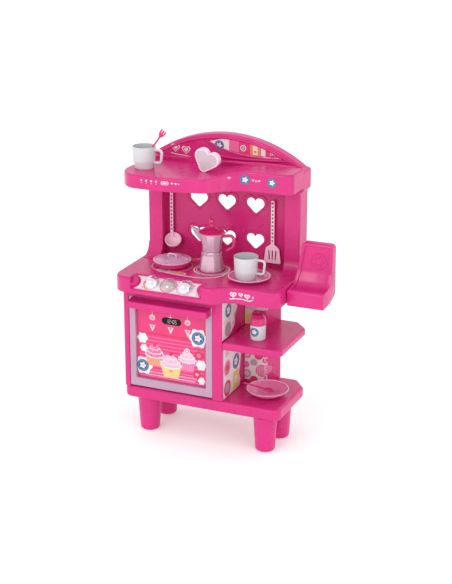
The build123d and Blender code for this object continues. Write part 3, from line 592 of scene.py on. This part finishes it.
def shelf_stickers():
    """Prints on the cabinet's side and on the column, over and under the middle shelf."""
    side = Vector((CABINET_X, 0, 0))
    upper = [([(-97, 323), (-62, 322), (-34, 330), (-14, 344), (-10, 360), (-20, 374), (2, 382), (8, 392),
            (-8, 404), (-10, 438), (-97, 438)], "white")]
    upper += emblem(-57, 400, 21) + [(disc(-60, 346, 21), "rose"), (disc(-60, 346, 18), "grey"),
            (heart(-24, 350, 15), "pale"), (patch(-95, 370, -40, 373), "pale")]
    sticker("side_print_upper", "oven_cabinet", side, Y, Z, upper)
    lower = [([(-97, 143), (22, 143), (30, 160), (20, 182), (28, 205), (34, 240), (26, 292), (-97, 292)],
            "white")]
    lower += [(disc(-64, 230, 25), "pale"), (disc(-64, 230, 21), "rose"),
            (petals(-64, 230, 13), "red")] + emblem(-2, 228, 23)
    lower += [(patch(-22, 146, 18, 200), "yellow"), (disc(-2, 172, 12), "cream"),
            (disc(-64, 168, 24), "pink"), (disc(-64, 168, 15), "grey"),
              (disc(-66, 276, 14), "pale"), (heart(-20, 272, 18), "pale")]
    sticker("side_print_lower", "oven_cabinet", side, Y, Z, lower)
    column = front_plane("shelf_column")
    top = [([(25, 322), (46, 322), (44, 352), (52, 366), (88, 366), (88, 376), (70, 380), (62, 394),
            (40, 394), (25, 380)], "white"),
           ([(27, 324), (43, 324), (42, 350), (48, 366), (60, 372), (56, 388), (42, 390), (27, 377)], "pale"),
           ([(27, 326), (41, 326), (44, 352), (27, 352)], "yellow"), (disc(35, 360, 9),
                   "cream"), (disc(62, 350, 11), "rose")]
    sticker("column_print_upper", "shelf_column", *column, top)
    low = [([(25, 150), (88, 150), (88, 222), (66, 226), (50, 236), (25, 238)], "white")]
    for x, z, r, colour in ((32, 228, 12, "rose"), (66, 226, 13, "pink"), (29, 196, 10, "rose"),
            (31, 168, 13, "grey"),
                            (76, 180, 19, "rose"), (52, 150, 12, "pink"), (84, 212, 7, "pink")):
        low += [(disc(x, z, r), colour)]
    low += [(disc(52, 204, 12), "pale"), (disc(52, 204, 9.5), "grey"), (disc(32, 228, 7), "pale"),
            (disc(31, 168, 8), "pale")]
    low += [(patch(x, 166, x + 1.8, 194), "pale") for x in (63, 68, 73, 78, 83)]
    sticker("column_print_lower", "shelf_column", *column, low)


def small_marks():
    """The shaker's round mark, and rows of dark dots on the utensils painted as the shade in their holes."""
    lo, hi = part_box("shaker_body")
    mid = (lo + hi) / 2 / MM
    sticker("shaker_mark", "shaker_body", *front_plane("shaker_body"), emblem(mid.x - 3, mid.z + 2, 13),
            body="shaker", step=2.0)
    for node, rows in (("ladle", range(560, 690, 11)), ("turner", range(562, 668, 11))):
        lo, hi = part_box(node)
        x = (-228 if node == "ladle" else (lo.x + hi.x) / 2 / MM)
        # Dark dots painted where the handles have holes: painted shade in place of the holes.
        hole_shade_dots = [(disc(x, z, 2.7, 14), "hole_shade") for z in rows]
        sticker(node + "_hole_shade_dots", node, *front_plane(node), hole_shade_dots, body=node, step=3.0)


def touch(node, x, z, start_y):
    """Where a line straight back from start_y meets a node."""
    if node not in SURFACES:
        SURFACES[node] = surface(node)
    return SURFACES[node].ray_cast(Vector((x * MM, start_y, z * MM)), Y, 0.3)[0]


def mouldings():
    """Beads, ridges and raised marks of the moulded body."""
    pink = FINISH["pink_plastic"]
    middle = (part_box("back_panel")[0].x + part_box("back_panel")[1].x) / 2
    arch = [Vector((middle + ARCH_R * math.sin(math.radians(a)), CROWN_Y,
            ARCH_Z + ARCH_R * math.cos(math.radians(a)))) for a in range(-32, 33, 4)]
    moulding("crown_bead", arch, 0.0036, pink, "cabinet")
    edge = [Vector((x * MM, CROWN_Y, z * MM)) for x, z in leaf(-121, 121, -1.0, 12)]
    moulding("leaf_bead", edge, 0.0021, pink, "cabinet", closed=True)
    ridge = [Vector((x * MM, CROWN_Y, z * MM)) for x,
            z in ((-112, 806), (-90, 797), (-67, 792), (-20, 790), (40, 792), (100, 795), (140, 799))]
    moulding("crown_ridge", ridge, 0.0046, pink, "cabinet")
    ledge = [Vector((x * MM, 0.084, z * MM)) for x,
            z in ((-80, 779), (-60, 783), (0, 784), (60, 786), (120, 788), (168, 789))]
    moulding("crown_ledge", ledge, 0.0060, pink, "cabinet")
    for i, x in enumerate((-145, -58, 30)):
        for j, z in enumerate((551, 656)):
            ring = [Vector((a * MM, RECESS_Y, b * MM)) for a, b in heart(x, z - 1, 72)]
            moulding(f"heart_rim_{i}_{j}", ring, 0.0019, pink, "cabinet", closed=True)
    seat = [touch("side_seat", 258 + 22 * math.cos(t), 548 + 22 * math.sin(t), -0.09) for t in turns(20)]
    moulding("seat_ring", seat, 0.0014, pink, "doll_seat", closed=True)
    blossom = [touch("side_seat", a, b, -0.09) for a, b in petals(258, 548, 15, 5, 0.6, 30)]
    moulding("seat_flower", blossom, 0.0013, pink, "doll_seat", closed=True)


def round_rims():
    """Pale rings on the rims of the bowl and the saucer: painted highlight along the rims."""
    for node, body in (("bowl", "bowl"), ("saucer", "saucer")):
        lo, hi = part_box(node)
        middle, r = (lo + hi) / 2, (hi.x - lo.x) / 2 - 0.0016
        ring = [Vector((middle.x + r * math.cos(t), middle.y + r * math.sin(t),
                hi.z - 0.0013)) for t in turns(24)]
        # A pale pink ring at the top of the rim: painted highlight.
        moulding(node + "_rim", ring, 0.0013, FINISH["pale_pink_plastic"], body,
                closed=True)


def soften(node, body, slot, width):
    """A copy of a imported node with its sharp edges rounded, shown in its place."""
    mesh = NODES[node].data.copy()
    bm = bmesh.new()
    bm.from_mesh(mesh)
    bmesh.ops.remove_doubles(bm, verts=bm.verts[:], dist=1e-6)
    bmesh.ops.dissolve_limit(bm, angle_limit=math.radians(1.0), verts=bm.verts[:], edges=bm.edges[:])
    piece = finish_piece(node + "_soft", bm, FINISH[slot], body, True, width)
    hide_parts(node)
    return piece


def moka():
    """A ten-sided play coffee pot: facets, neck rings, and a beak with white beads along its edges as painted
    highlight.
    """
    lo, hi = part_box("moka_base")
    cx, cy = (lo.x + hi.x) / 2, (lo.y + hi.y) / 2
    z = lo.z
    # white is the material of the beak's painted highlight beads.
    shell, white = SILVER_LILAC, FINISH["white_plastic"]
    outer = [(0.034, 0), (0.0355, 0.003), (0.0352, 0.008), (0.0300, 0.038), (0.0272, 0.046),
            (0.0285, 0.0475), (0.0285, 0.050), (0.0262, 0.0515), (0.0262, 0.057)]
    inner = [(0.0240, 0.057), (0.0240, 0.046), (0.0320, 0.005)]
    base = lathe("moka_base_facets", (cx, cy),
            [(0, z)] + [(r, z + h) for r, h in outer + inner] + [(0, z + 0.004)], shell, "moka_pot",
            facets=10)
    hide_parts("moka_base")
    z1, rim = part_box("moka_top")[0].z, z + 0.110
    outer = [(0.0255, 0), (0.0268, 0.002), (0.0255, 0.004), (0.0268, 0.006), (0.0255, 0.008),
            (0.0262, 0.010), (0.0290, 0.022), (0.0350, rim - z1 - 0.002), (0.0355, rim - z1)]
    inner = [(0.0335, rim - z1), (0.0270, 0.022), (0.0230, 0.006)]
    top = lathe("moka_top_facets", (cx, cy),
            [(0, z1)] + [(r, z1 + h) for r, h in outer + inner] + [(0, z1 + 0.004)], shell, "moka_pot",
            facets=10)
    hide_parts("moka_top")
    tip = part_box("moka_top")[0].x
    sections = [(cx - 0.030, rim - 0.034, rim - 0.001, 0.010), (cx - 0.043, rim - 0.020, rim + 0.001, 0.0085),
                (cx - 0.054, rim - 0.006, rim + 0.006, 0.006), (tip + 0.001, rim + 0.009, rim + 0.0135,
                        0.0028)]
    bm = bmesh.new()
    rows = []
    for x, low, high, half in sections:
        t = 0.0016
        rows.append([bm.verts.new(p) for p in ((x, cy - half, high), (x, cy, low), (x, cy + half, high),
                (x, cy + half - t, high), (x, cy, low + 2 * t), (x, cy - half + t, high))])
    for a, b in zip(rows, rows[1:]):
        for i in range(6):
            bm.faces.new((a[i], a[(i + 1) % 6], b[(i + 1) % 6], b[i]))
    bm.faces.new(rows[0][::-1])
    bm.faces.new(rows[-1])
    bmesh.ops.recalc_face_normals(bm, faces=bm.faces[:])
    finish_piece("moka_beak", bm, shell, "moka_pot", True, 0.0004)
    # White beads along both beak edges: painted highlight on the beak's rims.
    for side in (-1, 1):
        line = [Vector((x, cy + side * (half - 0.0006), high)) for x, low, high, half in sections]
        moulding(f"moka_beak_painted_highlight_{'front' if side < 0 else 'rear'}", line, 0.0013, white, "moka_pot")
    for i, (r, h) in enumerate(((0.0268, 0.0615), (0.0268, 0.0655), (0.0290, 0.0490), (0.0358, 0.1090))):
        ring = [Vector((cx + r * math.cos(t), cy + r * math.sin(t), z + h)) for t in turns(20)]
        moulding(f"moka_ring_{i}", ring, 0.0008, shell, "moka_pot", closed=True)


finish_cad_nodes()
look(23.5, 19.4, 4.0, (0.013, -0.050, 0.45), 88.9)
studio()
crown_stickers()
hood_stickers()
bay_sticker()
hob_stickers()
apron_marks()
door_art()
display_digits()
shelf_stickers()
small_marks()
mouldings()
round_rims()
soften("side_seat", "doll_seat", "pink_plastic", 0.004)
moka()
